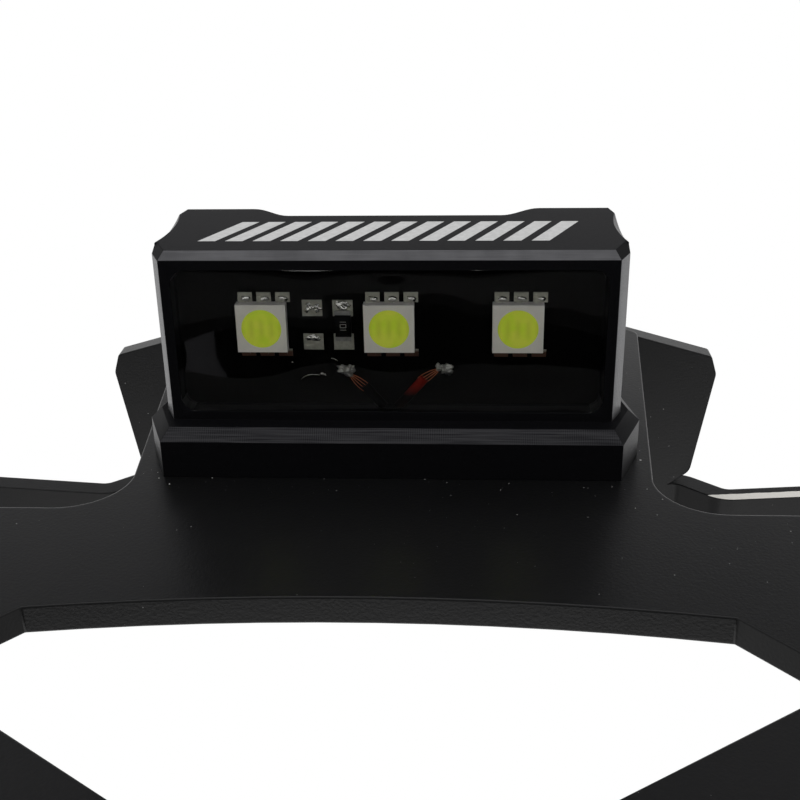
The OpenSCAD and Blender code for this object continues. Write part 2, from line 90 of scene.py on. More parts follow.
# %% [markdown]
# The camera comes before any finish, because every choice of finish is judged through it. The part
# was seen from below and behind, close up, with the window facing the lens. The place, the point that
# it looks at and the lens were worked out from the lamp's corners. A camera has no natural upright when
# it looks up this steeply, so its right-hand side is laid along the part's own X and turned by the
# little that the picture leans.

# %% Camera
CAMERA_AT = mm(7.71, -85.99, -153.88)
LOOKS_AT = mm(0.99, -36.18, -45.5)
LEAN = math.radians(-0.31)
LENS_MM = 53.33

forward = (LOOKS_AT - CAMERA_AT).normalized()
level_right = (Vector((1, 0, 0)) - forward * forward.x).normalized()
right = Matrix.Rotation(LEAN, 3, forward) @ level_right
up = right.cross(forward)
camera = bpy.data.objects.new("camera", bpy.data.cameras.new("camera"))
bpy.context.scene.collection.objects.link(camera)
camera.matrix_world = Matrix.Translation(CAMERA_AT) @ Matrix((right, up, -forward)).transposed().to_4x4()
camera.data.lens = LENS_MM
camera.data.clip_start = 5 * MM
bpy.context.scene.camera = camera
print("camera looks along", [round(v, 3) for v in forward])

# %% [markdown]
# Colours are written as they are read off a screen, in sRGB hex, and one function turns them to the
# linear values that shaders work in. One more function adds a node with its settings and its links, so
# that each material below reads as a list of what happens to the surface.

# %% Colours and nodes
bpy.context.scene.view_settings.view_transform = "Standard"


def srgb(code):
    """A hex colour such as '#2b2b2d' as linear red, green, blue and an alpha of 1."""
    shares = [int(code[i:i + 2], 16) / 255 for i in (1, 3, 5)]
    linear = [s / 12.92 if s <= 0.04045 else ((s + 0.055) / 1.055) ** 2.4 for s in shares]
    return (*linear, 1)


def add(tree, kind, inputs=None, **settings):
    """Adds a node. inputs maps a socket's name or number to a value or to another node's output."""
    node = tree.nodes.new(kind)
    for name, value in settings.items():
        setattr(node, name, value)
    for name, value in (inputs or {}).items():
        if isinstance(value, bpy.types.NodeSocket):
            tree.links.new(value, node.inputs[name])
        else:
            node.inputs[name].default_value = value
    return node


def new_material(name, **values):
    """A material with its Principled shader. values are the shader's sockets, with _ for a space."""
    material = bpy.data.materials.new(name)
    material.use_nodes = True
    tree = material.node_tree
    shader = tree.nodes["Principled BSDF"]
    for socket, value in values.items():
        shader.inputs[socket.replace("_", " ")].default_value = value
    place = add(tree, "ShaderNodeTexCoord").outputs["Object"]
    return material, tree, shader, place


print("middle grey in linear values", [round(c, 3) for c in srgb("#808080")])

# %% [markdown]
# Hardly any real surface has one even colour: paint, metal and moulded plastic all drift a little from
# place to place. So most finishes here drift between two tones over a real size, and one function
# makes them all, from the studio's floor to the solder.


# %% A finish that drifts between two tones
def clouded(name, dark, light, size_mm, bump_mm=0.0, detail=4, **values):
    """A finish whose colour drifts between two tones over a real size, with an optional relief."""
    material, tree, shader, place = new_material(name, **values)
    cloud = add(tree, "ShaderNodeTexNoise", {"Vector": place, "Scale": per(size_mm), "Detail": detail})
    tone = add(tree, "ShaderNodeMix", {0: cloud.outputs["Fac"], "A": srgb(dark), "B": srgb(light)},
               data_type="RGBA")
    tree.links.new(tone.outputs["Result"], shader.inputs["Base Color"])
    if bump_mm:
        bump = add(tree, "ShaderNodeBump", {"Height": cloud.outputs["Fac"], "Strength": 0.6,
                                            "Distance": bump_mm * MM})
        tree.links.new(bump.outputs["Normal"], shader.inputs["Normal"])
    return material


floor_paint = clouded("pale_floor_paint", "#e6e6e5", "#eeeeed", 40, detail=3, Roughness=0.8)
print(floor_paint.name, "has", len(floor_paint.node_tree.nodes), "nodes")

# %% [markdown]
# The stage is a plain studio: a pale floor far below the part, white all round, and soft boxes. White
# comes from the world as the camera sees it, not from more light on the part, so black stays black.
# The part hangs by its bracket, which is why the floor lies so low.

# %% World and floor
WORLD_LIGHT = 0.8
FLOOR_Z = -620 * MM

world = bpy.data.worlds.new("studio")
bpy.context.scene.world = world
world.use_nodes = True
tree = world.node_tree
path = add(tree, "ShaderNodeLightPath")
seen = add(tree, "ShaderNodeMath", {0: path.outputs["Is Camera Ray"],
                                    1: path.outputs["Is Transmission Ray"]}, operation="MAXIMUM")
shown = add(tree, "ShaderNodeMath", {0: seen.outputs[0], 1: path.outputs["Is Glossy Ray"]},
            operation="MAXIMUM")
level = add(tree, "ShaderNodeMapRange", {"Value": shown.outputs[0], "To Min": WORLD_LIGHT, "To Max": 1.0})
tree.links.new(level.outputs["Result"], tree.nodes["Background"].inputs["Strength"])
tree.nodes["Background"].inputs["Color"].default_value = (1, 1, 1, 1)

bpy.ops.mesh.primitive_plane_add(size=4, location=(0, 0, FLOOR_Z))
floor = bpy.context.active_object
floor.name = "floor"
floor.data.materials.append(floor_paint)
print("floor at z", round(FLOOR_Z / MM), "mm")

# %% [markdown]
# The white world does most of the work, as a light tent does: black paint and black oxide mirror it
# faintly, and that is what shows their form. Two soft boxes lift it a little, one behind the bike for
# the engraved face and one in front for the undersides. An area lamp looks as bright as its power per
# square metre, so the power is worked out from its size. Cards lie under the part, out of the picture:
# the window mirrors a black one into the lens, so that no white lies over the board, and two small ones
# over it give the window its soft mirror images. A large grey card hangs high behind the bike, where the
# carrier's rear face mirrors it.


# %% Soft boxes and cards
def soft_box(name, at, target, width, height, radiance):
    """A rectangular lamp that looks as bright as a white card lit to that radiance."""
    lamp = bpy.data.lights.new(name, "AREA")
    lamp.shape = "RECTANGLE"
    lamp.size = width
    lamp.size_y = height
    lamp.energy = radiance * math.pi * width * height
    box = bpy.data.objects.new(name, lamp)
    bpy.context.scene.collection.objects.link(box)
    box.location = at
    box.rotation_euler = (target - at).to_track_quat("-Z", "Y").to_euler()


lamp_middle = Vector((0, engraved_y, window_z))
soft_box("rear_soft_box", mm(0, -550, -120), lamp_middle, 0.50, 0.30, 1.5)
soft_box("front_soft_box", mm(0, 430, -420), mm(0, 10, 0), 0.60, 0.50, 1.6)


def card(name, at, width, depth, facing, dark, light):
    """A sheet of board about a point, facing one way, that only mirrors and light can see."""
    paint = clouded(name + "_board", dark, light, 8, detail=3, Roughness=0.9, Specular_IOR_Level=0.0)
    mesh = bpy.data.meshes.new(name)
    x, y = width * MM / 2, depth * MM / 2
    mesh.from_pydata([(-x, -y, 0), (x, -y, 0), (x, y, 0), (-x, y, 0)], [], [(0, 1, 2, 3)])
    mesh.transform(Matrix.Translation(at) @ facing.to_track_quat("Z", "Y").to_matrix().to_4x4())
    mesh.materials.append(paint)
    sheet = bpy.data.objects.new(name, mesh)
    bpy.context.scene.collection.objects.link(sheet)
    sheet.visible_camera = False


UPWARD = Vector((0, 0, 1))
card("black_card", mm(-17.5, 65, -300), 235, 140, UPWARD, "#040404", "#0a0a0a")
card("grey_card", mm(-80, 62, -299), 14, 24, UPWARD, "#6c6c70", "#909094")
card("dark_card", mm(33, 38, -298), 56, 9, UPWARD, "#2c2c30", "#48484c")
card("high_grey_card", mm(-40, -640, 720), 1300, 640, mm(0, 640, -790), "#9c9c9e", "#aaaaac")

# %% [markdown]
# Powder coat is a plastic powder that is melted on the sheet. It is black right through, has a soft gloss,
# and sets with a fine orange-peel skin. That skin shows only where a mirror image ends, as at the edge of
# the lamp's image on the carrier. Three marks on it come first, each as a share from 0 to 1 that says where
# it lies: painted shade that makes the carrier's cut walls deeper black, fine dust under the lamp painted
# paler than dust to stand in for its sparkle, and a painted highlight along the lower half of the right
# arm's rear edge. The strip is drawn as bare primer, which is a guess. All of them were fitted to how the
# real part looks; their causes aren't known.

# %% Marks on the coat
ARM_EDGE_LOW = -8.3 * MM   # the underside of the arms' sheet
ARM_SWEEP = 0.0612         # the tangent of the 3.5 degrees that the arms' rear edges run back by
ARM_EDGE_REAR = -0.9 * MM  # what lies behind this, once levelled, is the rear edge
HIGHLIGHT_FROM_X = 38 * MM      # where on the right arm the painted highlight begins
HIGHLIGHT_UP = 1.4 * MM         # its height above the underside, without its ragged upper limit
HIGHLIGHT_RAGGEDNESS = 0.3 * MM            # how far the ragged upper limit of the painted highlight reaches
REARWARD = -0.9            # a face whose normal has less than this along Y looks to the rear
SIDEWAYS = 0.5             # a carrier's face whose normal has less than this along Y is a cut wall
DUST_DOWN = 28 * MM        # how far below the window the dust reaches
DUST_FULL = 1 * MM         # from here up it lies at its thickest
DUST_TOP = 2 * MM          # and above the window's plane by this much it ends
DUSTY_CELLS = 0.5          # a cell with more than this carries a grain
GRAIN_CELL = 0.6           # millimetres from one grain's cell to the next
GRAIN_R = 0.27             # the largest grain's radius, as a share of its cell
carrier_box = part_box("plate_carrier")
carrier_rear_y = carrier_box[0].y + 0.05 * MM    # what lies behind this is the rear face
carrier_front_y = carrier_box[1].y + 0.01 * MM   # what lies behind this belongs to the carrier


def cut_wall_shade(tree, place):
    """Painted shade that makes the carrier's cut walls deeper black than its faces: 1 on those walls, 0
    elsewhere.
    """
    at = add(tree, "ShaderNodeSeparateXYZ", {0: place})
    flat = add(tree, "ShaderNodeNewGeometry").outputs["True Normal"]
    facing = add(tree, "ShaderNodeSeparateXYZ", {0: flat})
    across = add(tree, "ShaderNodeMath", {0: facing.outputs["Y"]}, operation="ABSOLUTE")
    wall = add(tree, "ShaderNodeMath", {0: across.outputs[0], 1: SIDEWAYS}, operation="LESS_THAN")
    carrier = add(tree, "ShaderNodeMath", {0: at.outputs["Y"], 1: carrier_front_y}, operation="LESS_THAN")
    return add(tree, "ShaderNodeMath", {0: wall.outputs[0], 1: carrier.outputs[0]},
               operation="MULTIPLY").outputs[0]


def dust_and_sparkle(tree, place):
    """Fine pale specks of dirt under the lamp, painted paler than they are to stand in for their sparkle: 1
    on a grain, thinning out down the carrier.
    """
    at = add(tree, "ShaderNodeSeparateXYZ", {0: place})
    near = add(tree, "ShaderNodeMapRange", {"Value": at.outputs["Z"], "From Min": window_z - DUST_DOWN,
                                            "From Max": window_z - DUST_FULL, "To Max": 1.0})
    above = add(tree, "ShaderNodeMath", {0: at.outputs["Z"], 1: window_z + DUST_TOP}, operation="LESS_THAN")
    rear = add(tree, "ShaderNodeMath", {0: at.outputs["Y"], 1: carrier_rear_y}, operation="LESS_THAN")
    drift = add(tree, "ShaderNodeTexNoise", {"Vector": place, "Scale": per(7), "Detail": 2})
    patch = add(tree, "ShaderNodeMapRange", {"Value": drift.outputs["Fac"], "From Min": 0.25,
                                             "From Max": 0.55, "To Max": GRAIN_R})
    grains = add(tree, "ShaderNodeTexVoronoi", {"Vector": place, "Scale": per(GRAIN_CELL)})
    chosen = add(tree, "ShaderNodeSeparateColor", {"Color": grains.outputs["Color"]})
    few = add(tree, "ShaderNodeMath", {0: chosen.outputs["Red"], 1: DUSTY_CELLS}, operation="GREATER_THAN")
    size = patch.outputs["Result"]
    for share in (near.outputs["Result"], above.outputs[0], rear.outputs[0], few.outputs[0],
                  chosen.outputs["Green"]):
        size = add(tree, "ShaderNodeMath", {0: size, 1: share}, operation="MULTIPLY").outputs[0]
    return add(tree, "ShaderNodeMath", {0: grains.outputs["Distance"], 1: size},
               operation="LESS_THAN").outputs[0]


def painted_highlight_strip(tree, place):
    """A painted highlight: 1 on the lower half of the right arm's rear edge, and 0 elsewhere."""
    at = add(tree, "ShaderNodeSeparateXYZ", {0: place})
    # The rear edge runs back with X, so Y is levelled along it: the holes' walls lie further forward.
    level = add(tree, "ShaderNodeMath", {0: at.outputs["X"], 1: ARM_SWEEP, 2: at.outputs["Y"]},
                operation="MULTIPLY_ADD")
    flat = add(tree, "ShaderNodeNewGeometry").outputs["True Normal"]
    facing = add(tree, "ShaderNodeSeparateXYZ", {0: flat})
    ragged = add(tree, "ShaderNodeTexNoise", {"Vector": place, "Scale": per(1.2), "Detail": 3})
    top = add(tree, "ShaderNodeMath", {0: ragged.outputs["Fac"], 1: HIGHLIGHT_RAGGEDNESS, 2: ARM_EDGE_LOW + HIGHLIGHT_UP},
              operation="MULTIPLY_ADD")
    tests = [(facing.outputs["Y"], REARWARD, "LESS_THAN"), (at.outputs["X"], HIGHLIGHT_FROM_X, "GREATER_THAN"),
             (level.outputs[0], ARM_EDGE_REAR, "LESS_THAN"),
             (at.outputs["Z"], top.outputs[0], "LESS_THAN"),
             (at.outputs["Z"], ARM_EDGE_LOW - 0.01 * MM, "GREATER_THAN")]
    highlit = 1.0
    for value, limit, test in tests:
        passed = add(tree, "ShaderNodeMath", {0: value, 1: limit}, operation=test)
        highlit = add(tree, "ShaderNodeMath", {0: passed.outputs[0], 1: highlit}, operation="MULTIPLY").outputs[0]
    return highlit


print("dust lies from z", round((window_z - DUST_DOWN) / MM, 1), "mm up to the lamp")

# %% [markdown]
# The coat itself is one near black with a soft gloss. Pale specks about a tenth of a millimetre wide lie
# on it, one to a cell of a random pattern. Each mark is laid over the ones before it, so a list of
# shares and colours is all that the loop needs.

# %% Black powder coat
SPECK_CELL = 1.3   # millimetres from one speck's cell to the next
SPECK_R = 0.055    # the largest speck's radius, as a share of its cell


def powder_coat():
    """Polyester powder coat on steel sheet: near black, soft gloss, orange peel and pale specks."""
    coat, tree, shader, place = new_material("black_powder_coat", Roughness=0.32, Specular_IOR_Level=0.2)
    peel = add(tree, "ShaderNodeTexNoise", {"Vector": place, "Scale": per(0.3), "Detail": 2})
    bump = add(tree, "ShaderNodeBump", {"Height": peel.outputs["Fac"], "Strength": 0.5,
                                        "Distance": 0.03 * MM})
    tree.links.new(bump.outputs["Normal"], shader.inputs["Normal"])
    cells = add(tree, "ShaderNodeTexVoronoi", {"Vector": place, "Scale": per(SPECK_CELL)})
    chosen = add(tree, "ShaderNodeSeparateColor", {"Color": cells.outputs["Color"]})
    size = add(tree, "ShaderNodeMapRange", {"Value": chosen.outputs["Red"], "To Max": SPECK_R})
    speck = add(tree, "ShaderNodeMath", {0: cells.outputs["Distance"], 1: size.outputs["Result"]},
                operation="LESS_THAN")
    cloud = add(tree, "ShaderNodeTexNoise", {"Vector": place, "Scale": per(14), "Detail": 3})
    black = add(tree, "ShaderNodeMix", {0: cloud.outputs["Fac"], "A": srgb("#0b0b0c"),
                                        "B": srgb("#101011")}, data_type="RGBA")
    colour = black.outputs["Result"]
    # Painted shade on the cut walls, dust painted paler for its sparkle, and a painted highlight on the
    # right arm's rear edge.
    for share, tone in ((cut_wall_shade(tree, place), "#050506"), (speck.outputs[0], "#808080"),
                        (dust_and_sparkle(tree, place), "#c0c0be"), (painted_highlight_strip(tree, place), "#e6e3dd")):
        marked = add(tree, "ShaderNodeMix", {0: share, "A": colour, "B": srgb(tone)}, data_type="RGBA")
        colour = marked.outputs["Result"]
    tree.links.new(colour, shader.inputs["Base Color"])
    return coat


black_powder_coat = powder_coat()
print(black_powder_coat.name, "has", len(black_powder_coat.node_tree.nodes), "nodes")

# %% [markdown]
# The lamp is milled from one block and anodised black. Its flat faces look even and dark, as blasted faces
# do. The bevels carry a tool's marks, so they are drawn as if cut last, through to the metal; the order of
# the real work isn't known. Their brightness is partly painted reflection: each kind of cut gets its own
# tone by the way it faces, with the upright chamfers brightest and the corner facets left dark, and the
# engraved face is painted a little paler than the rim. One material holds all of this, and tells the faces
# apart by the way they point: a bevel or a chamfer isn't square to the part's axes.


# %% Black anodised aluminium
SQUARE_FACE = 0.955     # the largest part of the normal, above which a face counts as square
CORNER_FACET = 0.2      # the least part of the normal, above which a face is a corner's facet, left dark as painted shade
UPRIGHT_CHAMFER = 0.2   # the part of the normal along Y, below which a cut is an upright chamfer
TOOL_STEP = 0.22        # millimetres from one of the tool's marks to the next


def anodised():
    """Black anodised aluminium: a dyed oxide skin, matt on the faces and cut to the metal on bevels, with
    painted reflections that set each cut's tone by the way it faces.
    """
    skin, tree, shader, place = new_material("black_anodised_aluminium", Specular_IOR_Level=0.012)
    normal = add(tree, "ShaderNodeNewGeometry").outputs["True Normal"]
    size = add(tree, "ShaderNodeVectorMath", {0: normal}, operation="ABSOLUTE")
    parts = add(tree, "ShaderNodeSeparateXYZ", {0: size.outputs["Vector"]})
    most = least = parts.outputs["X"]
    for axis in ("Y", "Z"):
        part = parts.outputs[axis]
        most = add(tree, "ShaderNodeMath", {0: most, 1: part}, operation="MAXIMUM").outputs[0]
        least = add(tree, "ShaderNodeMath", {0: least, 1: part}, operation="MINIMUM").outputs[0]
    slanted = add(tree, "ShaderNodeMath", {0: most, 1: SQUARE_FACE}, operation="LESS_THAN")
    two_way = add(tree, "ShaderNodeMath", {0: least, 1: CORNER_FACET}, operation="LESS_THAN")
    milled = add(tree, "ShaderNodeMath", {0: slanted.outputs[0], 1: two_way.outputs[0]},
                 operation="MULTIPLY")
    # A blasted skin is finer than this grain, which is drawn as coarse as it needs to be to show.
    blast = add(tree, "ShaderNodeTexNoise", {"Vector": place, "Scale": per(0.25), "Detail": 2})
    cloud = add(tree, "ShaderNodeTexNoise", {"Vector": place, "Scale": per(2.5), "Detail": 4})
    along = add(tree, "ShaderNodeMapping", {"Vector": place, "Scale": (0.02, 1.0, 1.0)})
    streak = add(tree, "ShaderNodeTexNoise", {"Vector": along.outputs[0], "Scale": per(0.12),
                                              "Detail": 2})
    drift = add(tree, "ShaderNodeTexNoise", {"Vector": place, "Scale": per(6), "Detail": 2})
    at = add(tree, "ShaderNodeSeparateXYZ", {0: place})
    turns = add(tree, "ShaderNodeMath", {0: at.outputs["X"], 1: 2 * math.pi * per(TOOL_STEP),
                                         2: drift.outputs["Fac"]}, operation="MULTIPLY_ADD")
    tick = add(tree, "ShaderNodeMath", {0: turns.outputs[0]}, operation="SINE")
    strength = add(tree, "ShaderNodeMapRange", {"Value": drift.outputs["Fac"], "From Min": 0.4,
                                                "From Max": 0.7, "To Min": 0.0, "To Max": 0.16})
    hatch = add(tree, "ShaderNodeMath", {0: tick.outputs[0], 1: strength.outputs["Result"],
                                         2: streak.outputs["Fac"]}, operation="MULTIPLY_ADD")
    marks = add(tree, "ShaderNodeMapRange", {"Value": hatch.outputs[0], "From Min": 0.3,
                                             "From Max": 0.75})
    on_foot = add(tree, "ShaderNodeMath", {0: at.outputs["Y"], 1: foot_y - 0.05 * MM},
                  operation="GREATER_THAN")
    # The engraved face is painted a little paler than the rim and the foot, which is painted light.
    upright = add(tree, "ShaderNodeMath", {0: parts.outputs["Y"], 1: SQUARE_FACE}, operation="GREATER_THAN")
    engraved = add(tree, "ShaderNodeMath", {0: upright.outputs[0], 1: on_foot.outputs[0]},
                   operation="GREATER_THAN")
    tones = {}
    for name, share, dark, light in (("deep", engraved.outputs[0], "#09090b", "#141416"),
                                     ("pale", engraved.outputs[0], "#121214", "#1e1e20"),
                                     ("chamfer", cloud.outputs["Fac"], "#4e4e50", "#5e5e60"),
                                     ("bevel", cloud.outputs["Fac"], "#3a3a3c", "#525254"),
                                     ("foot", marks.outputs["Result"], "#171719", "#363638")):
        tones[name] = add(tree, "ShaderNodeMix", {0: share, "A": srgb(dark), "B": srgb(light)},
                          data_type="RGBA").outputs["Result"]
    face = add(tree, "ShaderNodeMix", {0: blast.outputs["Fac"], "A": tones["deep"],
                                       "B": tones["pale"]}, data_type="RGBA")
    level = add(tree, "ShaderNodeMath", {0: parts.outputs["Y"], 1: UPRIGHT_CHAMFER},
                operation="GREATER_THAN")
    # An upright chamfer of the block is painted the brightest cut, a painted reflection; the foot's facets
    # all share one tone.
    plain = add(tree, "ShaderNodeMath", {0: level.outputs[0], 1: on_foot.outputs[0]}, operation="MAXIMUM")
    sloped = add(tree, "ShaderNodeMix", {0: on_foot.outputs[0], "A": tones["bevel"],
                                         "B": tones["foot"]}, data_type="RGBA")
    cut = add(tree, "ShaderNodeMix", {0: plain.outputs[0], "A": tones["chamfer"],
                                      "B": sloped.outputs["Result"]}, data_type="RGBA")
    colour = add(tree, "ShaderNodeMix", {0: milled.outputs[0], "A": face.outputs["Result"],
                                         "B": cut.outputs["Result"]}, data_type="RGBA")
    tree.links.new(colour.outputs["Result"], shader.inputs["Base Color"])
    tree.links.new(milled.outputs[0], shader.inputs["Metallic"])
    lines = add(tree, "ShaderNodeMath", {0: marks.outputs["Result"], 1: milled.outputs[0]},
                operation="MULTIPLY")
    rough = add(tree, "ShaderNodeMapRange", {"Value": lines.outputs[0], "To Min": 0.38, "To Max": 0.52})
    tree.links.new(rough.outputs["Result"], shader.inputs["Roughness"])
    height = add(tree, "ShaderNodeMix", {0: milled.outputs[0], "A": blast.outputs["Fac"],
                                         "B": marks.outputs["Result"]}, data_type="FLOAT")
    bump = add(tree, "ShaderNodeBump", {"Height": height.outputs["Result"], "Strength": 0.4,
                                        "Distance": 0.015 * MM})
    tree.links.new(bump.outputs["Normal"], shader.inputs["Normal"])
    return skin


black_anodised_aluminium = anodised()
print(black_anodised_aluminium.name, "has", len(black_anodised_aluminium.node_tree.nodes), "nodes")

# %% [markdown]
# The small parts need finishes of their own. Zinc plating is a pale grey metal with faint clouds. The
# rubber is matt. Inside the lamp there is a black solder mask, pale moulded LED bodies, tinned metal
# that has gone slightly dull, and the green-yellow silicone that turns an LED's blue light white.


# %% Plain finishes, each with its own grain
WET_SHEEN = 0.02             # the specular level of whatever the resin wets
BROWN_OVER = 0.3 * MM        # how far the terminals take to go from bright to brown
RED_FADES_FROM = -37.4 * MM  # along Y the red lead's painted shade begins here
RED_FADES_TO = -36.2 * MM    # and is at its darkest from here


def darkened_along_y(material, start, end, colour):
    """Lets a finish go over to a darker colour along Y, between two places in metres."""
    tree = material.node_tree
    target = tree.nodes["Principled BSDF"].inputs["Base Color"]
    tone = target.links[0].from_socket
    at = add(tree, "ShaderNodeSeparateXYZ", {0: add(tree, "ShaderNodeTexCoord").outputs["Object"]})
    share = add(tree, "ShaderNodeMapRange", {"Value": at.outputs["Y"], "From Min": start, "From Max": end})
    mixed = add(tree, "ShaderNodeMix", {0: share.outputs["Result"], "A": tone, "B": srgb(colour)},
                data_type="RGBA")
    tree.links.new(mixed.outputs["Result"], target)


# Zinc on steel: clear passivated, so pale grey with a cool cast.
zinc_steel = clouded("zinc_plated_steel", "#9fa3a7", "#c6c9cc", 1.5, 0.01, Metallic=1.0, Roughness=0.34)
# Nitrile rubber: matt and very dark.
black_rubber = clouded("black_nitrile_rubber", "#161617", "#222223", 0.8, 0.03, Roughness=0.75)
# Solder mask: black epoxy ink. Resin wets it, so it keeps no sheen of its own.
solder_mask = clouded("black_solder_mask", "#040404", "#0a0909", 3.0, Roughness=0.5,
                      Specular_IOR_Level=WET_SHEEN)
# LED body: glass-filled polyamide. It shows much darker through the window than its own near white.
led_body = clouded("moulded_polyamide", "#f4f0ee", "#fdfaf8", 0.9, 0.01, Roughness=0.5)
# Tinned copper: dull grey with a warm cast.
tinned_copper = clouded("tinned_copper", "#8f8f83", "#c4c4b8", 0.35, 0.05, Metallic=1.0, Roughness=0.36)
# The terminals on the LEDs' far side look brown.
darkened_along_y(tinned_copper, led_high.y, led_high.y + BROWN_OVER, "#5a4238")
# Solder: bright, with a frosted skin here and there.
solder = clouded("tin_solder", "#a8a8a4", "#dcdcd8", 0.25, 0.03, Metallic=1.0, Roughness=0.22)
# Solder round the leads: frosted all over.
frosted_solder = clouded("frosted_tin_solder", "#8c8c88", "#e0e0dc", 0.3, 0.08, Metallic=1.0, Roughness=0.5)
# Wire insulation: soft PVC, dyed right through, and wetted by the resin like the board.
red_insulation = clouded("red_pvc_insulation", "#6e1208", "#8c1c0e", 0.6, 0.01, Roughness=0.5,
                         Specular_IOR_Level=WET_SHEEN)
# The red lead's far end is painted dark: painted shade where it is lost in the dark.
darkened_along_y(red_insulation, RED_FADES_FROM, RED_FADES_TO, "#0c0302")
black_insulation = clouded("black_pvc_insulation", "#050505", "#0a0a0a", 0.6, 0.01, Roughness=0.5,
                           Specular_IOR_Level=WET_SHEEN)
# Copper strands: bright copper, a little browned.
copper = clouded("bare_copper", "#b0583a", "#e89a70", 0.15, 0.01, Metallic=1.0, Roughness=0.4)
# White print on the resistor, greyed.
print_ink = clouded("greyed_print", "#8a8a86", "#b8b8b4", 0.1, Roughness=0.6)
# Laser mark: the dye is burnt out of the oxide, which leaves a pale, mottled, matt grey.
laser_mark = clouded("laser_marked_oxide", "#b4b4b4", "#d9d9d9", 0.5, 0.01, Roughness=0.7)
print("finishes", sorted(m.name for m in bpy.data.materials))

# %% [markdown]
# The silicone in each LED's cup is cloudy, so the three chips and their bond wires show through it as faint
# darker marks. The three cups repeat at the LEDs' pitch, so one pattern serves all: the distance along the
# lamp is folded back to the nearest LED. Phosphor really turns some daylight yellow too; here that is drawn
# as a faint steady glow, which is painted light.


# %% Phosphor silicone
CHIP_PITCH = 1 * MM      # from one chip's middle to the next
CHIP_CORE = 0.05 * MM    # within this of a chip's middle its shadow is full
CHIP_EDGE = 0.4 * MM     # and here it ends
CHIP_LONG = 0.5 * MM     # along Y the shadow is full to here
CHIP_REACH = 1.3 * MM    # and ends here


def phosphor():
    """Silicone loaded with yellow phosphor, with the shadows of three chips and their wires, and a faint
    painted glow.
    """
    gel, tree, shader, place = new_material("phosphor_silicone", Roughness=0.35,
                                            Specular_IOR_Level=WET_SHEEN, Emission_Strength=0.16)
    parts = add(tree, "ShaderNodeSeparateXYZ", {0: place})
    folded = add(tree, "ShaderNodeMath", {0: parts.outputs["X"], 1: led_pitch / 2, 2: -led_pitch / 2},
                 operation="WRAP")
    chips = add(tree, "ShaderNodeMath", {0: folded.outputs[0], 1: CHIP_PITCH / 2, 2: -CHIP_PITCH / 2},
                operation="WRAP")
    beside = add(tree, "ShaderNodeMath", {0: chips.outputs[0]}, operation="ABSOLUTE")
    column = add(tree, "ShaderNodeMapRange", {"Value": beside.outputs[0], "From Min": CHIP_CORE,
                                              "From Max": CHIP_EDGE, "To Min": 1.0, "To Max": 0.0})
    off = add(tree, "ShaderNodeMath", {0: parts.outputs["Y"], 1: led_y}, operation="SUBTRACT")
    away = add(tree, "ShaderNodeMath", {0: off.outputs[0]}, operation="ABSOLUTE")
    reach = add(tree, "ShaderNodeMapRange", {"Value": away.outputs[0], "From Min": CHIP_LONG,
                                             "From Max": CHIP_REACH, "To Min": 1.0, "To Max": 0.0})
    shadow = add(tree, "ShaderNodeMath", {0: column.outputs["Result"], 1: reach.outputs["Result"]},
                 operation="MULTIPLY")
    depth = add(tree, "ShaderNodeMath", {0: shadow.outputs[0], 1: 0.3}, operation="MULTIPLY")
    grain = add(tree, "ShaderNodeTexNoise", {"Vector": place, "Scale": per(1.6), "Detail": 4})
    tint = add(tree, "ShaderNodeMapRange", {"Value": grain.outputs["Fac"], "From Min": 0.35,
                                            "From Max": 0.65})
    yellow = add(tree, "ShaderNodeMix", {0: tint.outputs["Result"], "A": srgb("#cdec40"),
                                         "B": srgb("#dfec58")}, data_type="RGBA")
    colour = add(tree, "ShaderNodeMix", {0: depth.outputs[0], "A": yellow.outputs["Result"],
                                         "B": srgb("#a8b848")}, data_type="RGBA")
    tree.links.new(colour.outputs["Result"], shader.inputs["Base Color"])
    # The glow is painted light.
    shader.inputs["Emission Color"].default_value = srgb("#c4cc44")
    return gel


phosphor_silicone = phosphor()
print("phosphor folded at a pitch of", round(led_pitch / MM, 2), "mm")

# %% [markdown]
# The resistor is a bar of glazed ceramic with tinned ends. The solid is one plain bar, so the material
# draws the ends: what lies further from its middle than the caps' inner edge is metal.


# %% Chip resistor
chip_low, chip_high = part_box("chip_resistor")
CAP_LENGTH = 0.45 * MM


def chip_glaze():
    """Black glazed ceramic between two tinned end caps."""
    glaze, tree, shader, place = new_material("glazed_ceramic_chip", Roughness=0.35,
                                              Specular_IOR_Level=WET_SHEEN)
    parts = add(tree, "ShaderNodeSeparateXYZ", {0: place})
    off = add(tree, "ShaderNodeMath", {0: parts.outputs["Y"], 1: (chip_low.y + chip_high.y) / 2},
              operation="SUBTRACT")
    away = add(tree, "ShaderNodeMath", {0: off.outputs[0]}, operation="ABSOLUTE")
    cap = add(tree, "ShaderNodeMath", {0: away.outputs[0],
                                       1: (chip_high.y - chip_low.y) / 2 - CAP_LENGTH},
              operation="GREATER_THAN")
    grain = add(tree, "ShaderNodeTexNoise", {"Vector": place, "Scale": per(0.3), "Detail": 3})
    black = add(tree, "ShaderNodeMix", {0: grain.outputs["Fac"], "A": srgb("#0b0b0c"),
                                        "B": srgb("#151517")}, data_type="RGBA")
    metal = add(tree, "ShaderNodeMix", {0: grain.outputs["Fac"], "A": srgb("#7e7e7c"),
                                        "B": srgb("#b0b0ac")}, data_type="RGBA")
    colour = add(tree, "ShaderNodeMix", {0: cap.outputs[0], "A": black.outputs["Result"],
                                         "B": metal.outputs["Result"]}, data_type="RGBA")
    tree.links.new(colour.outputs["Result"], shader.inputs["Base Color"])
    tree.links.new(cap.outputs[0], shader.inputs["Metallic"])
    return glaze


glazed_chip = chip_glaze()
print("each cap is", round(CAP_LENGTH / MM, 2), "mm long")

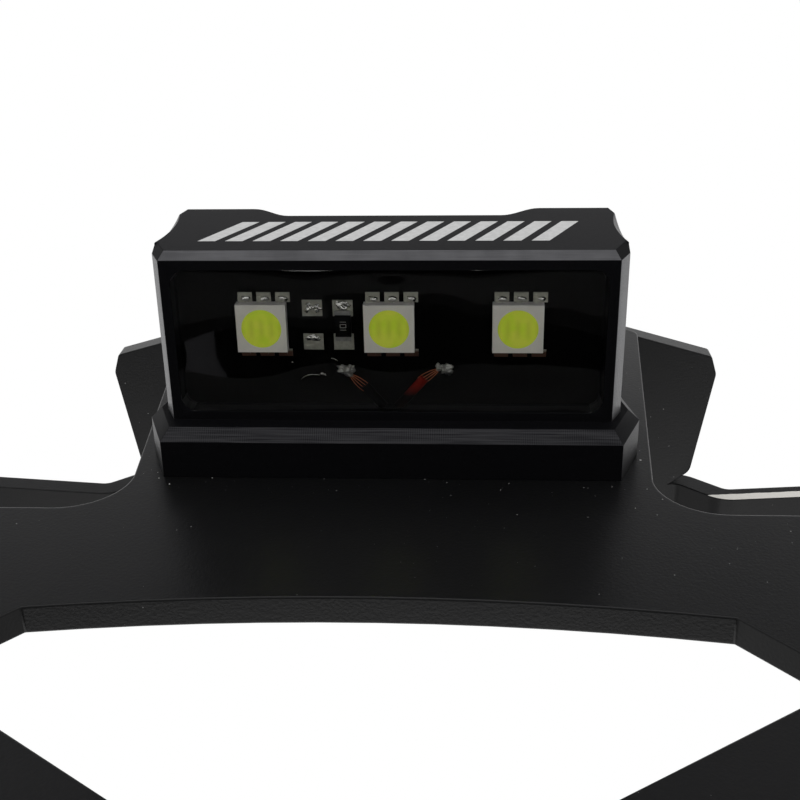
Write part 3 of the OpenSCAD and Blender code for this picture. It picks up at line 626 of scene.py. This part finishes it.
# %% [markdown]
# The window is filled with clear potting resin. Light has to pass it twice, so it is a true glass: it
# lets everything through, bends it, and mirrors a little. Its colour is white and its roughness small.


# %% Potting resin
def potting_resin():
    """Clear epoxy resin: an index of 1.5 and a faint haze."""
    resin, tree, shader, place = new_material("clear_epoxy_resin", Roughness=0.02, IOR=1.5,
                                              Transmission_Weight=1.0)
    shader.inputs["Base Color"].default_value = srgb("#fbfbfa")
    haze = add(tree, "ShaderNodeTexNoise", {"Vector": place, "Scale": per(2.5), "Detail": 2})
    rough = add(tree, "ShaderNodeMapRange", {"Value": haze.outputs["Fac"], "To Min": 0.0,
                                             "To Max": 0.05})
    tree.links.new(rough.outputs["Result"], shader.inputs["Roughness"])
    return resin


clear_resin = potting_resin()
print(clear_resin.name, "has", len(clear_resin.node_tree.nodes), "nodes")

# %% [markdown]
# A perfectly sharp edge never catches the light, and no real edge is that sharp. So the three main
# pieces are shown as copies of their solids with every sharp edge rounded: by a quarter of a millimetre
# on the coated sheets, and by less than a tenth on the lamp. The copy's loose triangles are merged
# first, and the flat ones dissolved, so that the rounding runs cleanly along each edge.


# %% Pieces with broken edges
SHARP = math.radians(28)       # edges that turn by more than this are rounded
SAME_PLANE = math.radians(0.6)
SHEET_EDGE = 0.25 * MM
LAMP_EDGE = 0.08 * MM


def to_mesh(shape, name, sharp_over=None):
    """Makes a mesh of a shape and frees the shape. Where an angle is given it is smooth up to that."""
    mesh = bpy.data.meshes.new(name)
    shape.to_mesh(mesh)
    shape.free()
    if sharp_over:
        mesh.shade_smooth()
        mesh.set_sharp_from_angle(angle=math.radians(sharp_over))
    return mesh


def own_piece(name, mesh, material, slot, *stands_for):
    """Puts a finished mesh in the part: on its body, and for the solids it replaces. The slot is not used.
    """
    piece = bpy.data.objects.new(name, mesh)
    bpy.context.scene.collection.objects.link(piece)
    mesh.materials.clear()
    mesh.materials.append(material)
    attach(piece, "root")
    if stands_for:
        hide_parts(*stands_for)
    return piece


def broken_edges(node, width, material, slot):
    """Shows a copy of a solid with its sharp edges rounded to that width."""
    shape = bmesh.new()
    shape.from_mesh(nodes[node].data)
    bmesh.ops.remove_doubles(shape, verts=shape.verts, dist=0.0005 * MM)
    bmesh.ops.dissolve_limit(shape, angle_limit=SAME_PLANE, verts=shape.verts, edges=shape.edges)
    sharp = [e for e in shape.edges if e.is_manifold and e.calc_face_angle() > SHARP]
    bmesh.ops.bevel(shape, geom=sharp, offset=width, segments=2, profile=0.6, affect="EDGES",
                    clamp_overlap=True, face_strength_mode="ALL")
    bmesh.ops.triangulate(shape, faces=[f for f in shape.faces if len(f.verts) > 4])
    mesh = to_mesh(shape, node + "_edged", 50)
    piece = own_piece(node + "_edged", mesh, material, slot, node)
    # The wide faces alone set the normals they share with a rounded edge, so they are lit as flat.
    flat = piece.modifiers.new("flat faces", "WEIGHTED_NORMAL")
    flat.use_face_influence = True
    flat.keep_sharp = True
    print(piece.name, len(sharp), "edges rounded,", len(mesh.polygons), "faces")


broken_edges("main_bracket", SHEET_EDGE, black_powder_coat, "black_powder_coat")
broken_edges("plate_carrier", SHEET_EDGE, black_powder_coat, "black_powder_coat")
broken_edges("lamp_housing", LAMP_EDGE, black_anodised_aluminium, "black_anodised_aluminium")

# %% [markdown]
# The other solids keep their own meshes and only change their finish.

# %% Finishes of the small solids
for name, material in {
    "carrier_bolts": zinc_steel, "carrier_washers": zinc_steel, "carrier_nuts": zinc_steel,
    "lamp_screws": zinc_steel, "lamp_washers": zinc_steel, "lead_grommet": black_rubber,
    "lamp_board": solder_mask, "led_left": led_body, "led_centre": led_body, "led_right": led_body,
    "led_phosphor": phosphor_silicone, "led_terminals": tinned_copper, "solder_pads": tinned_copper,
    "chip_resistor": glazed_chip, "solder_joints": solder, "red_lead_end": red_insulation,
    "black_lead_end": black_insulation,
}.items():
    nodes[name].material_slots[0].material = material
print("finished", len(nodes), "solids")

# %% [markdown]
# Resin that is poured and cured face up creeps up the pocket's walls and sets with slow waves, and such
# waves bend the reflections in the window. The waves here are made up, not measured. The resin's face is
# made of rings that shrink from the pocket's rounded outline to its middle, and each point is lifted by
# the waves and by the creep at the wall. The back lies on the board.

# %% Resin in the window
POCKET_R = 1.5 * MM
WETTING = 0.03 * MM      # the resin clings to what it touches, so its solid runs this far into it
RESIN_DOWN = 0.12 * MM   # how far the cured face lies below the window's plane on average
WAVE = 0.09 * MM
CREEP = 0.05 * MM
RING_STEP = 0.7 * MM     # the longest step between two points of a ring


def pocket_ring(half_x, half_y, radius, steps=12):
    """Points round a rounded rectangle about the origin, anticlockwise, close enough to look round."""
    ring = []
    for sx, sy, start in ((1, -1, -90), (1, 1, 0), (-1, 1, 90), (-1, -1, 180)):
        for i in range(steps + 1):
            turn = math.radians(start + 90 * i / steps)
            ring.append(Vector((sx * (half_x - radius) + radius * math.cos(turn),
                                sy * (half_y - radius) + radius * math.sin(turn))))
    spaced = []
    for a, b in zip(ring, ring[1:] + ring[:1]):
        parts = max(1, round((b - a).length / RING_STEP))
        spaced += [a.lerp(b, i / parts) for i in range(parts)]
    return spaced


def resin_depth(point, share):
    """How deep the cured face lies in the pocket, at a point and at its share of the way to the wall."""
    wave = noise.noise(Vector((point.x * per(9), point.y * per(5), 0.4)))
    ripple = noise.noise(Vector((point.x * per(4), point.y * per(3), 7.7)))
    creep = CREEP * share ** 24
    return RESIN_DOWN + WAVE * (wave + 0.35 * ripple) * (1 - share ** 6) - creep


resin_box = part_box("lamp_resin")
pocket_middle = (resin_box[0] + resin_box[1]) / 2
half_x = (resin_box[1].x - resin_box[0].x) / 2 + WETTING
half_y = (resin_box[1].y - resin_box[0].y) / 2 + WETTING
outline = pocket_ring(half_x, half_y, POCKET_R)
shares = [1, 0.985, 0.97, 0.95, 0.92, 0.88, 0.83, 0.77,
          0.7, 0.62, 0.54, 0.46, 0.38, 0.3, 0.22, 0.14, 0.07]
shape = bmesh.new()
rings = []
for share in shares:
    rings.append([])
    for p in outline:
        q = p * share
        depth = resin_depth(q, share)
        rings[-1].append(shape.verts.new((pocket_middle.x + q.x, pocket_middle.y + q.y, window_z + depth)))
back_z = board_low.z + WETTING
back = [shape.verts.new((v.co.x, v.co.y, back_z)) for v in rings[0]]
for outer, inner in [(back, rings[0]), *zip(rings, rings[1:])]:
    for i in range(len(outline)):
        j = (i + 1) % len(outline)
        shape.faces.new((outer[i], outer[j], inner[j], inner[i]))
shape.faces.new(rings[-1])
shape.faces.new(back[::-1])
bmesh.ops.recalc_face_normals(shape, faces=shape.faces)
own_piece("window_resin", to_mesh(shape, "window_resin", 40), clear_resin, "clear_resin", "lamp_resin")
print("resin face", len(outline), "points round,", len(shares), "rings")

# %% [markdown]
# The leads leave through a bore in the pocket's wall. Left open, its mouth shows through the resin as a
# grey spot. So it is closed with black sealant, which is a guess at what the real bore holds. The plug
# is let a little into the resin, so that no air lies between them.

# %% Sealant in the leads' bore
BORE_R = 1.68 * MM
BORE_UP = 2.1 * MM    # from the window's plane to the bore's axis
SEAL_L = 2 * MM
SEAL_INTO = 0.01 * MM # how far the plug is let into the resin
shape = bmesh.new()
seal_at = Vector((0, resin_box[1].y - SEAL_INTO + SEAL_L / 2, window_z + BORE_UP))
bmesh.ops.create_cone(shape, cap_ends=True, segments=48, radius1=BORE_R, radius2=BORE_R, depth=SEAL_L,
                      matrix=Matrix.Translation(seal_at) @ Matrix.Rotation(math.radians(90), 4, "X"))
own_piece("bore_seal", to_mesh(shape, "bore_seal", 40), black_insulation, "black_insulation")
print("bore closed at y", round(seal_at.y / MM, 2), "mm")

# %% [markdown]
# The engraved face carries a row of slanted bars, cut through the black skin by a laser. A row of equal
# shapes is work for Geometry Nodes: a line of points, one bar on each. The bars stand a hundredth of a
# millimetre over the skin, so they never share a plane with it.


# %% A helper that turns a node tree into a plain mesh
def grown(name, build, sizes, material):
    """Runs a geometry node tree, given by build, on an empty mesh and returns the result as a mesh."""
    tree = bpy.data.node_groups.new(name, "GeometryNodeTree")
    tree.interface.new_socket("Geometry", in_out="OUTPUT", socket_type="NodeSocketGeometry")
    for label, value in sizes.items():
        kind = "NodeSocketInt" if isinstance(value, int) else "NodeSocketFloat"
        tree.interface.new_socket(label, in_out="INPUT", socket_type=kind)
    inputs = add(tree, "NodeGroupInput")
    shape = build(tree, inputs.outputs)
    real = add(tree, "GeometryNodeRealizeInstances", {"Geometry": shape})
    dressed = add(tree, "GeometryNodeSetMaterial", {"Geometry": real.outputs[0], "Material": material})
    add(tree, "NodeGroupOutput", {"Geometry": dressed.outputs[0]})
    carrier = bpy.data.objects.new(name, bpy.data.meshes.new(name))
    bpy.context.scene.collection.objects.link(carrier)
    modifier = carrier.modifiers.new("grow", "NODES")
    modifier.node_group = tree
    for item in tree.interface.items_tree:
        if item.in_out == "INPUT":
            modifier[item.identifier] = sizes[item.name]
    bpy.context.view_layer.update()
    mesh = bpy.data.meshes.new_from_object(carrier.evaluated_get(bpy.context.evaluated_depsgraph_get()))
    mesh.name = name
    bpy.data.objects.remove(carrier)
    return mesh


# %% [markdown]
# The tree for the bars makes one upright bar and sets it on each point of a centred row. Then it shears
# the whole row: each corner moves sideways in step with its height.

# %% Slanted bars on the engraved face
MARK_LOW = window_z + 3.8 * MM
MARK_HIGH = window_z + 10.5 * MM
mark_sizes = {"Count": 13, "Pitch": 2.75 * MM, "Width": 1.75 * MM, "Height": MARK_HIGH - MARK_LOW,
              "Lean": 0.5, "Thickness": 0.02 * MM}


def centred_row(tree, count, pitch):
    """That many points along X, a pitch apart, with their middle at the origin."""
    gaps = add(tree, "ShaderNodeMath", {0: count, 1: -1.0}, operation="ADD")
    length = add(tree, "ShaderNodeMath", {0: gaps.outputs[0], 1: pitch}, operation="MULTIPLY")
    start = add(tree, "ShaderNodeMath", {0: length.outputs[0], 1: -0.5}, operation="MULTIPLY")
    begin = add(tree, "ShaderNodeCombineXYZ", {"X": start.outputs[0]})
    step = add(tree, "ShaderNodeCombineXYZ", {"X": pitch})
    return add(tree, "GeometryNodeMeshLine", {"Count": count, "Start Location": begin.outputs[0],
                                              "Offset": step.outputs[0]}, mode="OFFSET").outputs[0]


def slanted_bars(tree, size):
    """A row of upright bars along X, sheared by their lean into parallelograms."""
    row = centred_row(tree, size["Count"], size["Pitch"])
    box = add(tree, "ShaderNodeCombineXYZ", {"X": size["Width"], "Y": size["Thickness"],
                                             "Z": size["Height"]})
    bar = add(tree, "GeometryNodeMeshCube", {"Size": box.outputs[0]})
    bars = add(tree, "GeometryNodeInstanceOnPoints", {"Points": row,
                                                      "Instance": bar.outputs[0]})
    solid = add(tree, "GeometryNodeRealizeInstances", {"Geometry": bars.outputs[0]})
    at = add(tree, "GeometryNodeInputPosition")
    parts = add(tree, "ShaderNodeSeparateXYZ", {0: at.outputs[0]})
    shift = add(tree, "ShaderNodeMath", {0: parts.outputs["Z"], 1: size["Lean"]}, operation="MULTIPLY")
    slant = add(tree, "ShaderNodeCombineXYZ", {"X": shift.outputs[0]})
    leaning = add(tree, "GeometryNodeSetPosition", {"Geometry": solid.outputs[0],
                                                    "Offset": slant.outputs[0]})
    return leaning.outputs[0]


marks = grown("face_bars", slanted_bars, mark_sizes, laser_mark)
marks.transform(Matrix.Translation((0, engraved_y, (MARK_LOW + MARK_HIGH) / 2)))
own_piece("face_bars", marks, laser_mark, "black_anodised_aluminium")
print("bars", mark_sizes["Count"], "with", len(marks.polygons), "faces")

# %% [markdown]
# Solder and wire are the untidy part of a lamp that is put together by hand. Each terminal has a small
# bead where the solder climbed up to the LED. Nine equal beads are again work for Geometry Nodes: three
# points at each of three points, a squashed ball on each, and a noise that makes no two alike. A bead
# mirrors the room only near its crown, which gives the short bright glints.


# %% Solder beads at the LEDs' terminals
bead_sizes = {"LED pitch": led_pitch, "Terminal pitch": 1.88 * MM, "Width": 1.1 * MM,
              "Depth": 0.62 * MM, "Height": 0.5 * MM, "Unevenness": 0.22 * MM}
BEADS_RIGHT = 0.28 * MM   # the row sits this far off the LEDs' middle
BEADS_OUT = 0.34 * MM     # and this far outside their edge


def solder_beads(tree, size):
    """Three beads at each of three LEDs, along X about the origin."""
    leds = centred_row(tree, 3, size["LED pitch"])
    terminals = centred_row(tree, 3, size["Terminal pitch"])
    groups = add(tree, "GeometryNodeInstanceOnPoints", {"Points": leds, "Instance": terminals})
    places = add(tree, "GeometryNodeRealizeInstances", {"Geometry": groups.outputs[0]})
    ball = add(tree, "GeometryNodeMeshUVSphere", {"Segments": 28, "Rings": 18, "Radius": 0.5})
    extent = add(tree, "ShaderNodeCombineXYZ", {"X": size["Width"], "Y": size["Depth"],
                                                "Z": size["Height"]})
    beads = add(tree, "GeometryNodeInstanceOnPoints", {"Points": places.outputs[0],
                                                       "Instance": ball.outputs[0],
                                                       "Scale": extent.outputs[0]})
    solid = add(tree, "GeometryNodeRealizeInstances", {"Geometry": beads.outputs[0]})
    at = add(tree, "GeometryNodeInputPosition")
    field = add(tree, "ShaderNodeTexNoise", {"Vector": at.outputs[0], "Scale": per(0.7), "Detail": 1})
    centred = add(tree, "ShaderNodeVectorMath", {0: field.outputs["Color"], 1: (-0.5, -0.5, -0.5)},
                  operation="ADD")
    push = add(tree, "ShaderNodeVectorMath", {0: centred.outputs[0], "Scale": size["Unevenness"]},
               operation="SCALE")
    uneven = add(tree, "GeometryNodeSetPosition", {"Geometry": solid.outputs[0],
                                                   "Offset": push.outputs[0]})
    smooth = add(tree, "GeometryNodeSetShadeSmooth", {"Geometry": uneven.outputs[0]})
    return smooth.outputs[0]


pads_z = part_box("solder_pads")[0].z
beads = grown("terminal_beads", solder_beads, bead_sizes, solder)
beads.transform(Matrix.Translation((BEADS_RIGHT, led_low.y - BEADS_OUT, pads_z)))
own_piece("terminal_beads", beads, solder, "tinned_metal")
print("beads", len(beads.polygons), "faces")

# %% [markdown]
# The joints of the two leads, and the solder on the free pads, are lumps of their own shape. A ball is
# stretched, turned, and pushed in and out by a noise. The solids' plain half balls are replaced by the
# two lumps at their places.


# %% Lumps of solder
def lump(shape, at, size, turn, unevenness):
    """Adds one lump: a ball stretched to a size, turned about Z, and made uneven. Lengths in mm."""
    made = bmesh.ops.create_icosphere(shape, subdivisions=4, radius=0.5)["verts"]
    place = Matrix.Translation(mm(*at)) @ Matrix.Rotation(math.radians(turn), 4, "Z")
    for v in made:
        push = noise.noise(v.co * 3.1 + Vector(at)) + 0.5 * noise.noise(v.co * 7.3 + Vector(at))
        v.co = place @ (Vector(c * s for c, s in zip(v.co * (1 + unevenness * push), size)) * MM)


def lumps(name, placed, material, slot, *stands_for):
    """A piece of lumps, each given as its place, size, turn and unevenness."""
    shape = bmesh.new()
    for one in placed:
        lump(shape, *one)
    mesh = to_mesh(shape, name)
    mesh.shade_smooth()
    own_piece(name, mesh, material, slot, *stands_for)
    print(name, len(placed), "lumps,", len(mesh.polygons), "faces")


board_z = board_low.z / MM
lumps("wire_joints", [((-4.55, -38.75, board_z), (1.55, 0.95, 0.9), 24, 0.7),
                      ((-4.1, -38.95, board_z), (0.9, 0.8, 0.6), 0, 0.8),
                      ((5.75, -38.95, board_z), (1.25, 0.95, 0.9), -12, 0.7),
                      ((4.95, -39.1, board_z), (0.9, 0.7, 0.6), 20, 0.8)],
      frosted_solder, "tinned_metal", "solder_joints")
pad_face = pads_z / MM
lumps("pad_solder", [((-4.6, -45.7, pad_face), (1.2, 0.75, 0.36), 0, 1.2),
                     ((-8.0, -45.5, pad_face), (0.7, 0.8, 0.2), 30, 1.2),
                     ((-7.2, -45.5, pad_face), (0.7, 0.7, 0.2), -30, 1.2),
                     ((-7.65, -42.3, pad_face), (1.5, 0.6, 0.24), 0, 0.5)],
      solder, "tinned_metal")

# %% [markdown]
# Copper strands leave the insulation and run to the joints, and a few hair-fine trimmings lie in the
# resin. Each is a smooth curve through a few points, with a round section.


# %% Strands and trimmings
def wires(name, lines, radius, material, slot):
    """A piece of round wires, each a smooth curve along its points in mm."""
    curve = bpy.data.curves.new(name, "CURVE")
    curve.dimensions = "3D"
    curve.bevel_depth = radius
    curve.bevel_resolution = 2
    curve.use_fill_caps = True
    for points in lines:
        spline = curve.splines.new("NURBS")
        spline.points.add(len(points) - 1)
        for point, place in zip(spline.points, points):
            point.co = (*mm(*place), 1)
        spline.order_u = 3
        spline.use_endpoint_u = True
    holder = bpy.data.objects.new(name, curve)
    bpy.context.scene.collection.objects.link(holder)
    bpy.context.view_layer.update()
    mesh = bpy.data.meshes.new_from_object(holder.evaluated_get(bpy.context.evaluated_depsgraph_get()))
    bpy.data.objects.remove(holder)
    mesh.name = name
    own_piece(name, mesh, material, slot)
    print(name, len(lines), "wires,", len(mesh.polygons), "faces")


def bundle(start, end, count, spread):
    """Strands between two ends in mm, side by side across the run and fanned out a little."""
    across = Vector((end[1] - start[1], start[0] - end[0], 0)).normalized() * spread
    lines = []
    for i in range(count):
        off = across * (i - (count - 1) / 2)
        bend = 0.12 * noise.noise(Vector((i * 1.7, start[0], 0.3)))
        middle = (Vector(start) + Vector(end)) / 2 + off * 1.4 + Vector((bend, bend, -0.1))
        lines.append([Vector(start) + off * 0.5, middle, Vector(end) + off * 1.2])
    return lines


STRAND_R = 0.035 * MM
TRIMMING_R = 0.045 * MM
strand_z = board_z - 0.45
wires("copper_strands",
      bundle((-3.9, -38.25, strand_z), (-2.45, -36.95, strand_z - 0.1), 4, 0.26)
      + bundle((4.7, -38.9, strand_z), (3.0, -37.75, strand_z - 0.1), 4, 0.24),
      STRAND_R, copper, "tinned_metal")
wires("trimmings", [[(-9.1, -37.9, -43.6), (-8.6, -38.35, -43.7),
                     (-7.8, -38.45, -43.65), (-7.2, -38.35, -43.6)],
                    [(-5.95, -40.2, -43.5), (-5.6, -40.15, -43.6), (-5.3, -39.9, -43.5)]],
      TRIMMING_R, solder, "tinned_metal")
lumps("trimming_end", [((-6.85, -38.5, -43.6), (0.5, 0.25, 0.2), 20, 0.9),
                       ((-9.9, -39.7, -43.4), (0.18, 0.1, 0.1), 0, 0.4)], solder, "tinned_metal")

# %% [markdown]
# Chip resistors carry a small print. This one has a plain outlined box between two strokes, which says
# nothing. Its lines are flat bars a few hundredths of a millimetre thick, let into the glaze.

# %% Print on the resistor
PRINT_T = 0.03 * MM
shape = bmesh.new()
chip_x = (chip_low.x + chip_high.x) / 2
chip_y = (chip_low.y + chip_high.y) / 2
for x, y, w, h in [(0, -0.17, 0.62, 0.07), (0, 0.17, 0.62, 0.07),
                   (-0.28, 0, 0.07, 0.34), (0.28, 0, 0.07, 0.34),
                   (0, -0.42, 0.62, 0.05), (0, 0.42, 0.62, 0.05)]:
    at = Matrix.Translation((chip_x + x * MM, chip_y + y * MM, chip_low.z))
    bmesh.ops.create_cube(shape, size=1, matrix=at @ Matrix.Diagonal((w * MM, h * MM, PRINT_T, 1)))
mesh = to_mesh(shape, "resistor_print")
own_piece("resistor_print", mesh, print_ink, "chip_resistor")
print(mesh.name, len(mesh.polygons), "faces")
